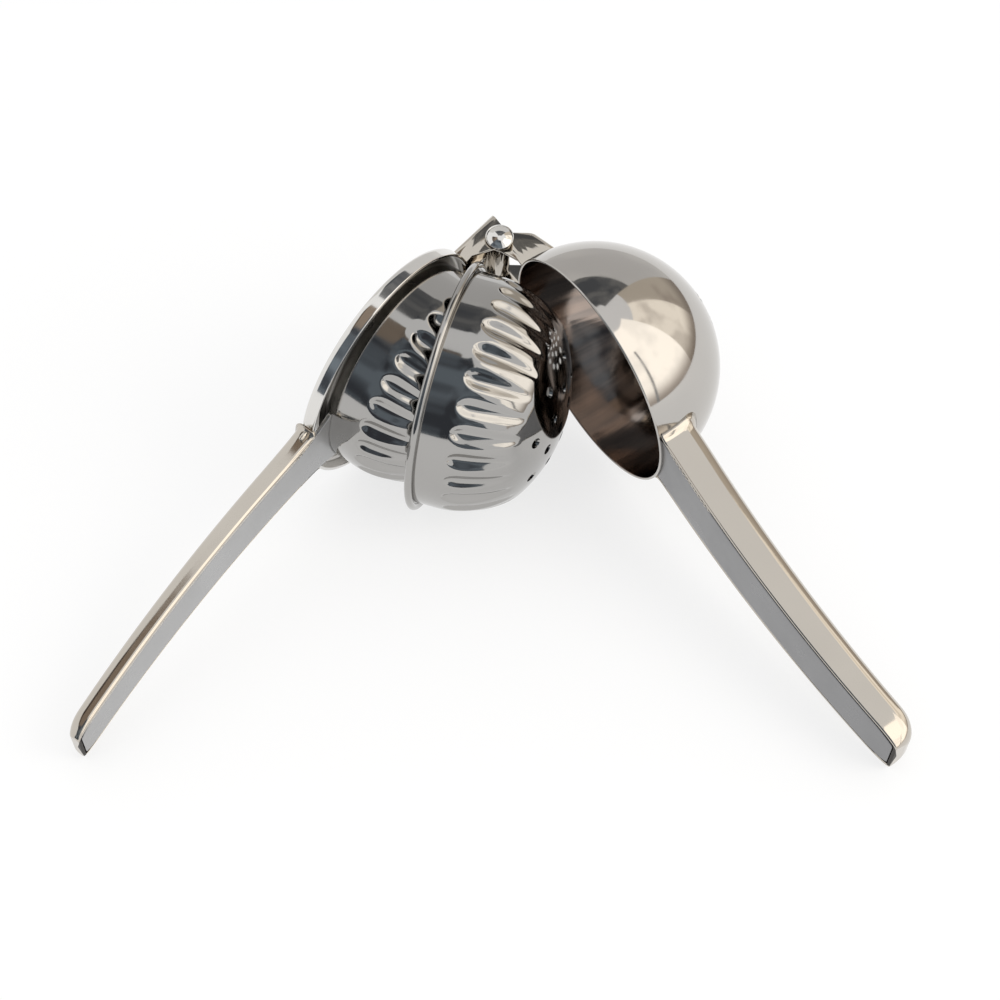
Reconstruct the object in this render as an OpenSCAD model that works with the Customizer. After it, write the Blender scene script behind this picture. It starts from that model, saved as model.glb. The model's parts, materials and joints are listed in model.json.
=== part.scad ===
// Hinged lemon squeezer in stainless sheet, lying open on its side.
// Three arms turn on one rivet: the juice bowl, the strainer and the press.
// Each arm is drawn in its own frame: the rivet lies on Z, the arm runs out along -Y,
// the mouths of the bowls lie in the plane X = 0 and their poles point along +X.
// Closed, the three frames are the same one, and the cup sits in the strainer in the bowl.

/* [Open position] */
// Turn of the juice bowl's arm about the rivet
bowl_turn = 34.4; // [20:0.1:60]
// Turn of the strainer about the rivet
strainer_turn = -16.5; // [-20:0.1:0]
// Turn of the press arm about the rivet
press_turn = -36.5; // [-60:0.1:-35]

/* [Rivet] */
// Diameter of the rivet's shank
pin_d = 4.3; // [3.5:0.1:5]
// Diameter of the rivet's two heads
head_d = 8.3; // [7:0.1:10]
// Height of each domed head
head_h = 1.5; // [1:0.1:2.5]
// Radial clearance of the rivet in its holes
pin_clear = 0.05; // [0.02:0.01:0.1]
// Distance from the rivet to the centre of the bowls
hinge_reach = 46; // [45:0.5:50]
// Side gap between sheets of different arms on the rivet
ear_gap = 0.3; // [0.3:0.05:0.5]

/* [Juice bowl] */
// Outer radius of the juice bowl
bowl_r = 36.3; // [36:0.1:38]
// Sheet thickness of the juice bowl
bowl_sheet = 0.8; // [0.6:0.1:1]
// Height of the straight part between the bowl's mouth and its half sphere
bowl_straight = 2.3; // [1.5:0.1:4]
// Diameter of the juice bowl's drain holes
drain_d = 3.5; // [2.5:0.1:4.5]
// Distance between the rings of drain holes
drain_pitch = 7; // [6:0.1:9]

/* [Strainer] */
// Gap between the strainer's wall and the inside of the juice bowl
strainer_gap = 1; // [0.8:0.1:2]
// Gap between the pole of the strainer and the juice bowl
pole_gap = 3.5; // [2.5:0.1:6]
// Sheet thickness of the strainer
strainer_sheet = 0.9; // [0.6:0.1:1]
// Gap between the strainer's bead and the bowl's mouth when closed
bead_gap = 0.3; // [0.3:0.05:0.8]
// Radius of the rolled bead on the strainer's mouth
bead_r = 1.1; // [0.9:0.1:1.3]
// Distance the bead's centre stands out from the strainer's wall
bead_out = 1.4; // [1.3:0.1:2]
// Radius of the strainer's upright side arc
side_r = 30; // [28:0.5:31]
// Height of the side arc's centre over the centre of the juice bowl
side_rise = 2.6; // [2:0.1:2.7]
// Angle at which the side arc turns into the knuckle
knuckle_at = 40; // [36:1:44]
// Radius of the knuckle between side and crown
knuckle_r = 16; // [14:0.5:18]
// Diameter of the juice holes
hole_d = 3.2; // [2.4:0.1:4]
// Radius of the outer ring of juice holes
hole_ring_outer = 19.3; // [18:0.1:21]
// Radius of the middle ring of juice holes
hole_ring_middle = 12.6; // [11:0.1:14]
// Radius of the inner ring of juice holes
hole_ring_inner = 5.6; // [4.5:0.1:7]
// Turn of the outer and inner rings of juice holes about the pole
hole_turn = 35.5; // [0:0.5:45]

/* [Flutes] */
// Number of flutes round each fluted bowl
flutes = 26; // [20:1:26]
// Radius of a flute's round section
flute_r = 3; // [2.6:0.1:3.2]
// Depth of a flute under the wall where it begins, near the mouth
flute_depth = 1.47; // [0.8:0.01:1.5]
// Angle on the side arc at which the flutes begin
flute_from = 9; // [6:1:16]
// Angle on the side arc at which the flutes have nearly faded out
flute_to = 42; // [34:1:44]
// Distance by which the flutes' arc is set towards the pole, so that they fade out there
flute_fade = 3.6; // [2:0.1:4]
// Direction of that distance, over the mouth plane
flute_fade_at = 62; // [55:1:70]
// Radius of a flute's ridge on the inside
flute_in_r = 3.4; // [3.1:0.1:3.8]
// Sheet left at the bottom of a flute, where pressing thins it
flute_wall = 0.75; // [0.5:0.05:0.9]

/* [Strainer loop] */
// Sheet thickness of the loop
loop_sheet = 0.9; // [0.6:0.1:1.1]
// Half width of the loop along the rivet
loop_half = 8.3; // [7:0.1:9]
// Angle by which the loop wraps round the rivet
loop_wrap = 235; // [180:5:260]

/* [Brackets] */
// Sheet thickness of both hinge brackets
bracket_sheet = 0.8; // [0.6:0.1:1]
// Radius of the ears round the rivet
ear_r = 3.4; // [3.2:0.1:4]
// Bend radius inside the brackets' folds
fold_r = 1.2; // [0.8:0.1:2]
// Distance of the bowl bracket's back from the mouth plane, at its free end
bowl_back_free = 10.6; // [9:0.1:11]
// Distance of the bowl bracket's back from the mouth plane, at the bowl
bowl_back_root = 12.6; // [11.5:0.1:14]
// Length of the bowl bracket's back in front of the bowl
bowl_back_len = 5.6; // [4:0.1:6]
// Distance the bowl bracket's ears run on over the bowl
bowl_ear_run = 6; // [4:0.5:8]
// Distance the press bracket runs out behind the rivet
press_tail = 5.4; // [4:0.1:8]
// Distance the press bracket runs on behind the ring
press_run = 4; // [3:0.5:5]
// Distance of the press bracket's back from the mouth plane, at its free end
press_back_free = 7; // [6.5:0.1:8]
// Distance of the press bracket's back from the mouth plane, at the ring
press_back_root = 8.6; // [8.3:0.1:10]

/* [Press cup and ring] */
// Gap between the cup and the strainer's flutes when closed
nest_gap = 0.4; // [0.3:0.05:1]
// Sheet thickness of the cup
cup_sheet = 0.9; // [0.6:0.1:1.2]
// Distance the press ring stands out beyond the juice bowl that it closes on
ring_over = 0.5; // [0:0.1:1.5]
// Distance of the ring's centre beyond the cup's, away from the rivet
ring_shift = 1.5; // [0:0.1:2]
// Sheet thickness of the ring
ring_sheet = 1; // [0.8:0.1:1.2]
// Depth of the ring's channel
ring_depth = 4.6; // [4:0.1:6]
// Radius of the ring's outer bend
ring_bend = 2; // [1.2:0.1:2.5]
// Gap round the strainer's loop in the ring's notch
notch_gap = 0.6; // [0.4:0.1:1]

/* [Handles] */
// Length of the juice bowl's handle beyond its bowl
bowl_grip_len = 106.7; // [90:1:130]
// Height of the bowl handle at its root
bowl_grip_h_root = 23.6; // [18:0.1:26]
// Height of the bowl handle at its tip
bowl_grip_h_tip = 17.6; // [13:0.1:20]
// Depth of the bowl handle's channel at its root
bowl_grip_deep_root = 11.5; // [9:0.1:13]
// Depth of the bowl handle's channel at its tip
bowl_grip_deep_tip = 9.6; // [8:0.1:12]
// Length of the press handle beyond its ring
press_grip_len = 106.7; // [90:1:130]
// Height of the press handle past its flare
press_grip_h_root = 18.6; // [13:0.1:21]
// Height of the press handle at its tip
press_grip_h_tip = 14.9; // [11:0.1:18]
// Depth of the press handle's channel at its root
press_grip_deep_root = 6.3; // [5.5:0.1:8]
// Depth of the press handle's channel at its tip
press_grip_deep_tip = 5.3; // [5:0.1:7]
// Added height of the flare where the press handle meets its cup
press_flare = 9.3; // [6:0.1:12]
// Sheet thickness of the handles' channels
grip_sheet = 1; // [0.8:0.1:1.2]
// Thickness of the strips that close the channels
strip_sheet = 1.2; // [0.8:0.1:1.3]
// Gap of the seam round the strips
seam = 0.15; // [0.05:0.05:0.3]
// Gap between welded pieces
weld_gap = 0.03; // [0.02:0.01:0.05]

/* [Hidden] */

$fn = 72;
// A length longer than the whole squeezer, for cutting blocks
far = 300;

// Rivet stack, from the middle outwards
pin_r = pin_d / 2;
hole_r = pin_r + pin_clear;
bowl_ear_in = loop_half + ear_gap;
bowl_ear_out = bowl_ear_in + bracket_sheet;
press_ear_in = bowl_ear_out + ear_gap;
press_ear_out = press_ear_in + bracket_sheet;
head_seat = press_ear_out + ear_gap;
head_top = head_seat + head_h;
// The ears' plates start inside their round ends; the bowl's ears stay above its mouth by this
ear_neck = ear_r - 0.2;
ear_foot = 0.7;
// Length over which the ears rise to their full width in front of a bowl or ring
ear_rise = 1;

// Juice bowl
bowl_in_r = bowl_r - bowl_sheet;

// Strainer: straight wall, side arc, knuckle and crown, each tangent to the next
wall_r = bowl_in_r - strainer_gap;
wall_in_r = wall_r - strainer_sheet;
side_x = wall_r - side_r;
side_s = bowl_straight + side_rise;
knuckle_x = side_x + (side_r - knuckle_r) * cos(knuckle_at);
knuckle_y = side_s + (side_r - knuckle_r) * sin(knuckle_at);
dish_depth = bowl_straight + bowl_in_r - pole_gap;
crown_rise = dish_depth - knuckle_y;
crown_r = (knuckle_x * knuckle_x + crown_rise * crown_rise - knuckle_r * knuckle_r)
    / (2 * (crown_rise - knuckle_r));
crown_y = dish_depth - crown_r;
crown_at = atan2(knuckle_y - crown_y, knuckle_x);

// Bead and lip of the strainer's mouth
bead_x = wall_r + bead_out;
bead_y = -bead_gap - bead_r;
lip_top = bead_y - bead_r;
lip_bend = strainer_sheet + 0.4;

// Flutes: each is a round bar on an arc about a centre set towards the pole
flute_pitch = 360 / flutes;
flute_set = flute_fade * [cos(flute_fade_at), sin(flute_fade_at)];
flute_start = (side_r + flute_r - flute_depth) * [cos(flute_from), sin(flute_from)] - flute_set;
flute_path = norm(flute_start);

// Strainer loop: its tab runs on from the rolled part
loop_in_r = hole_r;
loop_out_r = loop_in_r + loop_sheet;
loop_tab_end = hinge_reach - wall_in_r;

// Press ring
ring_r = bowl_r + ring_over;

// Press cup: the strainer's form drawn in, so that it nests with one even gap
cup_in = strainer_sheet + flute_depth + nest_gap;
cup_r = wall_r - cup_in;

// Handles. The faces bow: each rises from its lowest place with this radius.
bowl_face_low = -1.3;
bowl_face_low_at = 52.7;
bowl_face_bow = 620;
press_face_low = -1.5;
press_face_low_at = 15.7;
press_face_bow = 650;
bowl_root = hinge_reach + bowl_r;
ring_y = hinge_reach + ring_shift;
press_root = ring_y + ring_r;
// The flare of the press handle is full up to this distance inside the ring, and fades out
// over this length
flare_full = 7.3;
flare_fade = 5;
// Length of a handle's loft inside its bowl or ring, where it is cut to meet it; the strip's is
// longer, as it runs on over the ring to the cup
root_lap = 12;
strip_lap = 14;
// Bunching of the stations towards the root
bunch = 1.7;
// Rounding of the handle tips: length along the handle, drop of the back, drop of each side
bowl_nose = [9, 6, 2.4];
press_nose = [7, 2.4, 1.8];
// Edge radius at the strip and bend radius at the back of each channel
bowl_edges = [0.5, 4.2];
press_edges = [1.2, 2.9];
// Stations along a handle, steps round its nose and points round each corner
grip_steps = 16;
nose_steps = 6;
corner_steps = 5;

// Ring
ring_front = press_face_low - strip_sheet;
ring_back = ring_front - ring_depth;

// ---- placing ----

// Point of an arm, given as distance out, distance towards the pole and height on the rivet
function arm_point(turn, out, pole, up) =
    [pole * cos(turn) + out * sin(turn), pole * sin(turn) - out * cos(turn), up];

// Points of each handle, turned to its open position
function rotated(p, a) = [p[0] * cos(a) - p[1] * sin(a), p[0] * sin(a) + p[1] * cos(a), p[2]];
bowl_points = [for (p = grip_points(bowl_grip(), 0)) rotated(p, bowl_turn)];
press_points = [for (p = grip_points(press_grip(), 0)) rotated(p, press_turn)];

// The squeezer rests on its handle tips and the strainer's bead.
// Lowest heights of a handle and of the bead's ring under a tilt about X
function low_under(points, t) = min([for (p = points) p[1] * sin(t) + p[2] * cos(t)]);
bead_mid = arm_point(strainer_turn, hinge_reach, bead_y, 0);
function bead_low(t) =
    let (along = bead_x * cos(strainer_turn) * sin(t), up = bead_x * cos(t))
    bead_mid[1] * sin(t) - sqrt(along * along + up * up) - bead_r;
// Mean height of the two tips; the lean then shares out their difference
function tips_low(t) = (low_under(bowl_points, t) + low_under(press_points, t)) / 2;
// Tilt at which the tips and the bead touch the table together
function level_tilt(low, high, left) =
    let (mid = (low + high) / 2)
    left == 0 ? mid
    : tips_low(mid) > bead_low(mid) ? level_tilt(mid, high, left - 1)
    : level_tilt(low, mid, left - 1);
tilt = level_tilt(5, 30, 16);
// Lean about Y that brings the press handle's tip level with the bowl handle's tip
tip_apart = (press_root + press_grip_len) * -sin(press_turn)
    + (bowl_root + bowl_grip_len) * sin(bowl_turn);
lean = atan((low_under(bowl_points, tilt) - low_under(press_points, tilt)) / tip_apart);

// A point after tilt and lean
function settled(p) =
    let (y = p[1] * cos(tilt) - p[2] * sin(tilt), z = p[1] * sin(tilt) + p[2] * cos(tilt))
    [p[0] * cos(lean) + z * sin(lean), y, -p[0] * sin(lean) + z * cos(lean)];

bowl_far = [for (p = bowl_points) settled(p)];
press_far = [for (p = press_points) settled(p)];
bracket_far = [for (up = [-1, 1])
    settled(arm_point(press_turn, -press_tail, -press_back_free, up * press_ear_out))];
function axis_of(points, i) = [for (p = points) p[i]];
low_x = min(axis_of(press_far, 0));
high_x = max(axis_of(bowl_far, 0));
low_y = min(concat(axis_of(bowl_far, 1), axis_of(press_far, 1)));
high_y = max(axis_of(bracket_far, 1));
low_z = min(concat(axis_of(bowl_far, 2), axis_of(press_far, 2), [bead_low(tilt)]));
hinge_at = [-(low_x + high_x) / 2, -(low_y + high_y) / 2, -low_z];

// Puts an arm's piece at its place in the squeezer lying on the table
module place(turn) {
    translate(hinge_at) rotate([tilt, lean, 0]) rotate([0, 0, turn]) children();
}

// ---- bowls ----

// Revolves a profile of radius and height about a bowl's pole
module revolve() {
    about_pole() rotate_extrude() children();
}

module about_pole() {
    translate([0, -hinge_reach, 0]) rotate([0, 90, 0]) children();
}

// Turns a copy from the handle's side round the pole by this angle
module round_pole(angle) {
    rotate([0, 0, -90 - angle]) children();
}

module sector(centre, r, from, to) {
    intersection() {
        translate(centre) circle(r);
        polygon(concat([centre], [for (a = [from, (from + to) / 2, to])
            centre + 2 * r * [cos(a), sin(a)]]));
    }
}

// Profile of the fluted bowls' form, moved out from the strainer's outside by grow
module dish(grow, base) {
    crown_foot = [knuckle_x, knuckle_y] + (knuckle_r + grow) * [cos(crown_at), sin(crown_at)];
    knuckle_foot = [side_x, side_s] + (side_r + grow) * [cos(knuckle_at), sin(knuckle_at)];
    polygon([[0, base], [wall_r + grow, base], [wall_r + grow, side_s], knuckle_foot,
        crown_foot, [0, dish_depth + grow]]);
    sector([side_x, side_s], side_r + grow, 0, knuckle_at);
    sector([knuckle_x, knuckle_y], knuckle_r + grow, knuckle_at, crown_at);
    intersection() {
        sector([0, crown_y], crown_r + grow, crown_at, 90);
        square([far, far]);
    }
}

// The flutes' tools: round bars on arcs that rise out of the wall towards the pole
module flute_ring(r, inset) {
    about_pole() for (i = [0:flutes - 1]) round_pole(i * flute_pitch)
        translate([side_x + flute_set[0], 0, side_s + flute_set[1]]) rotate([90, 0, 0])
            rotate([0, 0, flute_from]) rotate_extrude(angle = flute_to - flute_from)
                translate([flute_path - inset, 0]) circle(r, $fn = 20);
}

// A fluted sheet bowl whose outside lies inset under the strainer's
module fluted_shell(inset, sheet, base) {
    ridge = flute_r + flute_wall - flute_in_r;
    difference() {
        revolve() dish(-inset, base);
        flute_ring(flute_r, inset);
        difference() {
            revolve() dish(-inset - sheet, base - 1);
            flute_ring(flute_in_r, inset + ridge);
        }
    }
}

module hole_ring(count, r, d, first) {
    about_pole() for (i = [0:count - 1]) round_pole(first + i * 360 / count)
        translate([r, 0, 0]) cylinder(h = far / 4, d = d, $fn = 24);
}

// Lip and bead of the strainer's mouth
module bead_profile(grow) {
    translate([bead_x, bead_y]) circle(bead_r + grow);
}

module lip_profile() {
    translate([wall_in_r + lip_bend, lip_top]) square([bead_out + strainer_sheet - lip_bend, strainer_sheet]);
    intersection() {
        translate([wall_in_r, lip_top]) square([lip_bend, lip_bend]);
        translate([wall_in_r + lip_bend, lip_top + lip_bend]) difference() {
            circle(lip_bend);
            circle(lip_bend - strainer_sheet);
        }
    }
    translate([wall_in_r, lip_top + lip_bend]) square([strainer_sheet, -lip_top - lip_bend + 0.01]);
}

module bowl_solid(grow) {
    revolve() {
        square([bowl_r + grow, bowl_straight]);
        sector([0, bowl_straight], bowl_r + grow, 0, 90);
    }
}

module juice_bowl() {
    color([0.78, 0.76, 0.73]) place(bowl_turn) difference() {
        revolve() difference() {
            union() {
                translate([0, bowl_sheet / 2]) square([bowl_r, bowl_straight - bowl_sheet / 2]);
                sector([0, bowl_straight], bowl_r, 0, 90);
                translate([bowl_r - bowl_sheet / 2, bowl_sheet / 2]) circle(bowl_sheet / 2);
            }
            translate([0, -1]) square([bowl_in_r, bowl_straight + 1]);
            sector([0, bowl_straight], bowl_in_r, 0, 90);
        }
        hole_ring(1, 0, drain_d, 0);
        hole_ring(6, drain_pitch, drain_d, 0);
        hole_ring(12, 2 * drain_pitch, drain_d, 15);
    }
}

module strainer_bowl() {
    color([0.74, 0.73, 0.71]) place(strainer_turn) difference() {
        union() {
            fluted_shell(0, strainer_sheet, 0);
            revolve() {
                bead_profile(0);
                lip_profile();
            }
        }
        hole_ring(8, hole_ring_outer, hole_d, hole_turn);
        hole_ring(8, hole_ring_middle, hole_d, hole_turn - 360 / 16);
        hole_ring(4, hole_ring_inner, hole_d, hole_turn);
    }
}

module press_cup() {
    color([0.72, 0.71, 0.69]) place(press_turn) union() {
        fluted_shell(cup_in, cup_sheet, 0);
        revolve() translate([cup_r - cup_sheet, ring_back]) square([cup_sheet, -ring_back + 0.01]);
    }
}

// ---- ring ----

// Everything inside the ring's outer skin, for cutting what is welded to it
module ring_solid(grow) {
    translate([0, -ring_y, 0]) rotate([0, 90, 0])
        translate([0, 0, ring_back - grow]) cylinder(h = ring_depth + grow, r = ring_r + grow);
}

module ring_profile() {
    mid = ring_r - ring_bend;
    translate([0, ring_back]) square([mid, ring_sheet]);
    translate([ring_r - ring_sheet, ring_back + ring_bend])
        square([ring_sheet, ring_depth - ring_bend]);
    intersection() {
        translate([mid, ring_back]) square([ring_bend, ring_bend]);
        translate([mid, ring_back + ring_bend]) difference() {
            circle(ring_bend);
            circle(ring_bend - ring_sheet);
        }
    }
}

module press_ring() {
    notch_half = loop_half + notch_gap;
    notch_floor = -loop_out_r - notch_gap - loop_sheet;
    color([0.77, 0.76, 0.74]) place(press_turn) difference() {
        translate([0, -ring_y, 0]) rotate([0, 90, 0]) rotate_extrude() ring_profile();
        about_pole() translate([0, 0, ring_back - 1]) cylinder(h = ring_depth + 2, r = cup_r + weld_gap);
        translate([notch_floor, -ring_y / 2, -notch_half]) cube([far, ring_y, 2 * notch_half]);
    }
}

// ---- hinge ----

module hinge_pin() {
    dome_r = (head_d * head_d / 4 + head_h * head_h) / (2 * head_h);
    color([0.7, 0.69, 0.67]) place(bowl_turn) {
        cylinder(h = 2 * head_seat, d = pin_d, center = true);
        for (side = [0, 1]) mirror([0, 0, side]) intersection() {
            translate([0, 0, head_seat]) cylinder(h = head_h, d = head_d);
            translate([0, 0, head_top - dome_r]) sphere(dome_r);
        }
    }
}

module strainer_hinge_loop() {
    color([0.73, 0.72, 0.7]) place(strainer_turn) difference() {
        translate([0, 0, -loop_half]) linear_extrude(2 * loop_half) {
            loop_roll();
            translate([-loop_out_r, -loop_tab_end]) square([loop_sheet, loop_tab_end]);
        }
        revolve() bead_profile(weld_gap);
        revolve() translate([wall_in_r - weld_gap, lip_top - weld_gap])
            square([bead_out + strainer_sheet, far]);
    }
}

// The rolled part: from the tab round the back of the rivet to its pole side
module loop_roll() {
    difference() {
        circle(loop_out_r);
        circle(loop_in_r);
        polygon(concat([[0, 0]], [for (i = [0:4]) let (a = 180 + loop_wrap + (360 - loop_wrap) * i / 4)
            2 * loop_out_r * [cos(a), sin(a)]]));
    }
}

// A bracket folded from sheet: two ears and a back, cut from a U-shaped bar.
// from and to are the ends of its back, in distance out and distance towards the pole.
module folded(from, to, ear_in, sign) {
    run = to - from;
    angle = atan2(run[1], run[0]);
    bend = fold_r + bracket_sheet;
    ear_out = ear_in + bracket_sheet;
    rotate([0, 0, -90]) translate([from[0], from[1], 0]) rotate([0, 0, angle])
        rotate([90, 0, 90]) translate([0, 0, -far / 2]) linear_extrude(far) difference() {
            u_outline(sign, ear_out, bend, 0);
            u_outline(sign, ear_in, fold_r, bracket_sheet);
        }
}

// Half-open block with two rounded corners at the back
module u_outline(sign, half, bend, back) {
    scale_to = sign > 0 ? 0 : 1;
    mirror([scale_to, 0, 0]) {
        translate([-far, -half]) square([far - back - bend, 2 * half]);
        translate([-back - bend - 0.01, -half + bend]) square([bend + 0.01, 2 * (half - bend)]);
        for (s = [-1, 1]) translate([-back - bend, s * (half - bend)]) circle(bend);
    }
}

// Block of the ears' outline: their ends round the rivet, and a plate through these points
module ear_block(points, half) {
    cylinder(h = 2 * half, r = ear_r, center = true);
    translate([0, 0, -half]) linear_extrude(2 * half) rotate(-90) polygon(points);
}

module bowl_hinge_bracket() {
    gap = hinge_reach - bowl_r;
    start = [gap - bowl_back_len, bowl_back_free];
    end = [gap + bracket_sheet, bowl_back_root];
    color([0.75, 0.74, 0.72]) place(bowl_turn) difference() {
        intersection() {
            folded(start, end, bowl_ear_in, 1);
            ear_block([[-ear_neck, 0], start, end + (end - start), [gap + bowl_ear_run, ear_foot],
                [gap - ear_rise, ear_foot],
                [0, -ear_neck]], bowl_ear_out);
        }
        bowl_solid(weld_gap);
        cylinder(h = far, r = hole_r, center = true);
    }
}

module press_hinge_bracket() {
    gap = ring_y - ring_r;
    start = [-press_tail, -press_back_free];
    end = [gap + press_run, -press_back_root];
    color([0.75, 0.74, 0.72]) place(press_turn) difference() {
        intersection() {
            folded(start, end, press_ear_in, -1);
            ear_block([[0, ear_neck], [-ear_neck, 0], start, end, [gap + press_run, ring_front],
                [gap - ear_rise, ring_front]], press_ear_out);
        }
        ring_solid(weld_gap);
        cylinder(h = far, r = hole_r, center = true);
    }
}

// ---- handles ----

function face_at(low, low_at, bow, x) = low + (x - low_at) * (x - low_at) / (2 * bow);
function mix(a, b, t) = a + (b - a) * t;

// What a handle is: side its back lies on, root, length, lowest face, its place, its bow,
// depths at root and tip, heights at root and tip, flare, nose, edges, straight face at the root
function bowl_grip() = [1, bowl_root, bowl_grip_len, bowl_face_low, bowl_face_low_at,
    bowl_face_bow, bowl_grip_deep_root, bowl_grip_deep_tip, bowl_grip_h_root, bowl_grip_h_tip,
    0, bowl_nose, bowl_edges, false];
function press_grip() = [-1, press_root, press_grip_len, press_face_low, press_face_low_at,
    press_face_bow, press_grip_deep_root, press_grip_deep_tip, press_grip_h_root,
    press_grip_h_tip, press_flare, press_nose, press_edges, true];

// Stations of a handle as distance from its root and share of the nose passed
function stations(start, len, nose_len) = concat(
    [for (i = [0:grip_steps]) [mix(start, len - nose_len, pow(i / grip_steps, bunch)), 0]],
    [for (i = [1:nose_steps]) let (a = 90 * i / nose_steps) [len - nose_len + nose_len * sin(a), 1 - cos(a)]]);

function corner(c, r, from) = [for (i = [0:corner_steps])
    let (a = from - 90 * i / corner_steps) [c[0] + r * cos(a), c[1] + r * sin(a)]];

// Section of a handle's body, as depth behind its face and height
function body_section(deep, half, edge, bend) =
    let (b = min(bend, deep - edge - 0.1), e = min(edge, deep / 3))
    concat(corner([e, half - e], e, 180), corner([deep - b, half - b], b, 90),
        corner([deep - b, b - half], b, 0), corner([e, e - half], e, -90));

function grip_deep(g, x) = mix(g[6], g[7], x / g[2]);
function grip_half(g, x) = mix(g[8], g[9], x / g[2]) / 2
    + min(g[10], g[10] * exp(-(x + flare_full) / flare_fade)) / 2;
function grip_face(g, x) = g[13] ? face_at(g[3], g[4], g[5], max(x, g[4])) : face_at(g[3], g[4], g[5], x);

// Points of a handle's body, drawn in by inset; where inset is above 0 it opens to the face
function grip_points(g, inset) = [for (s = stations(-root_lap, g[2] - inset, g[11][0]))
    let (x = s[0], deep = grip_deep(g, x) - g[11][1] * s[1] - inset,
        half = grip_half(g, x) - g[11][2] * s[1] - inset,
        bend = max(0.4, g[12][1] - inset), edge = inset > 0 ? 0.05 : g[12][0],
        face = grip_face(g, x), lift = inset > 0 ? 2 : 0)
    for (p = body_section(deep + lift, half, edge, bend))
        [face + g[0] * (p[0] - lift), -(g[1] + x), p[1]]];

// Closed loft through rings of points
module loft(points, per_ring, flip) {
    rings = len(points) / per_ring;
    side = [for (i = [0:rings - 2], j = [0:per_ring - 1])
        let (k = (j + 1) % per_ring, a = i * per_ring, b = a + per_ring)
        each [[a + j, b + j, b + k], [a + j, b + k, a + k]]];
    ends = [[for (j = [0:per_ring - 1]) j],
        [for (j = [per_ring - 1:-1:0]) (rings - 1) * per_ring + j]];
    faces = concat(side, ends);
    polyhedron(points, flip ? [for (f = faces) [for (i = [len(f) - 1:-1:0]) f[i]]] : faces);
}

section_points = 4 * (corner_steps + 1);

module grip_shell(g) {
    difference() {
        loft(grip_points(g, 0), section_points, g[0] > 0);
        loft(grip_points(g, grip_sheet), section_points, g[0] > 0);
    }
}

// The strip lies in the mouth of the channel, with an even seam round it
module grip_strip(g) {
    inset = grip_sheet + seam;
    points = [for (s = stations(-strip_lap, g[2] - inset, g[11][0]))
        let (x = s[0], half = grip_half(g, x) - g[11][2] * s[1] - inset, face = grip_face(g, x))
        for (p = [[strip_sheet, half], [strip_sheet, -half], [0, -half], [0, half]])
            [face + g[0] * p[0], -(g[1] + x), p[1]]];
    loft(points, 4, g[0] > 0);
}

module bowl_handle_shell() {
    color([0.79, 0.77, 0.74]) place(bowl_turn) difference() {
        grip_shell(bowl_grip());
        bowl_solid(weld_gap);
        translate([-far / 2, -hinge_reach, -far / 2]) cube([far, far, far]);
    }
}

module bowl_handle_strip() {
    color([0.6, 0.6, 0.61]) place(bowl_turn) difference() {
        grip_strip(bowl_grip());
        bowl_solid(weld_gap);
    }
}

module press_handle_shell() {
    color([0.79, 0.77, 0.74]) place(press_turn) difference() {
        grip_shell(press_grip());
        translate([-far / 2, -ring_y, 0]) rotate([0, 90, 0]) cylinder(h = far, r = ring_r + weld_gap);
    }
}

module press_handle_strip() {
    color([0.66, 0.66, 0.67]) place(press_turn) difference() {
        grip_strip(press_grip());
        translate([-far / 2, -hinge_reach, 0]) rotate([0, 90, 0]) cylinder(h = far, r = cup_r + weld_gap);
    }
}

juice_bowl();
bowl_handle_shell();
bowl_handle_strip();
bowl_hinge_bracket();
hinge_pin();
strainer_bowl();
strainer_hinge_loop();
press_cup();
press_ring();
press_handle_shell();
press_handle_strip();
press_hinge_bracket();
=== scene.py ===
"""Hinged lemon squeezer in polished stainless steel, lying open on a pale table.

Three arms turn on one rivet. Each arm has a frame of its own: X runs towards the bowls' poles,
Y runs back along the arm and Z runs up the rivet. A shape is worked out in that frame with numpy,
as rows of points, and is then turned to its open place.
"""

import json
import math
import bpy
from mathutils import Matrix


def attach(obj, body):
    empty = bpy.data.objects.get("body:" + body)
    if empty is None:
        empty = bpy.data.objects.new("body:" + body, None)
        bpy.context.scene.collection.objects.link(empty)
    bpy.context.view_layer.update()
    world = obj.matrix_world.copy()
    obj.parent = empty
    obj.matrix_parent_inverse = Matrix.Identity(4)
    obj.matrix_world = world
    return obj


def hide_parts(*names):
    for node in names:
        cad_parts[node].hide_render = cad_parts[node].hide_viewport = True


bl_info = {
    "name": "Hinged Lemon Squeezer",
    "version": (1, 0, 0),
    "blender": (4, 5, 0),
    "location": "View3D > Sidebar > Squeezer",
    "description": "Builds a hinged lemon squeezer in polished steel with its table and lights",
    "category": "Add Mesh",
}

import bmesh
import bpy
import numpy as np
from bpy.props import FloatProperty, FloatVectorProperty, IntProperty, PointerProperty
from mathutils import Matrix, Vector

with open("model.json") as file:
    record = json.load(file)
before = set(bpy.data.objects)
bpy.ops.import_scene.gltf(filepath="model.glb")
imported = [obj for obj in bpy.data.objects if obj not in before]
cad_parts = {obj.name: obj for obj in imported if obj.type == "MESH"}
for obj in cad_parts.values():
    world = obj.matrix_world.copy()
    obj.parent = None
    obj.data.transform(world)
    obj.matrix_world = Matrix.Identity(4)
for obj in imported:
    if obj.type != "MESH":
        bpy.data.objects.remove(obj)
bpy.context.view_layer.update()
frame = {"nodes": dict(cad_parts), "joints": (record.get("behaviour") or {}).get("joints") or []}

MM = 0.001
RIVET = next(j for j in frame["joints"] if j["name"] == "strainer_hinge")

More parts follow.
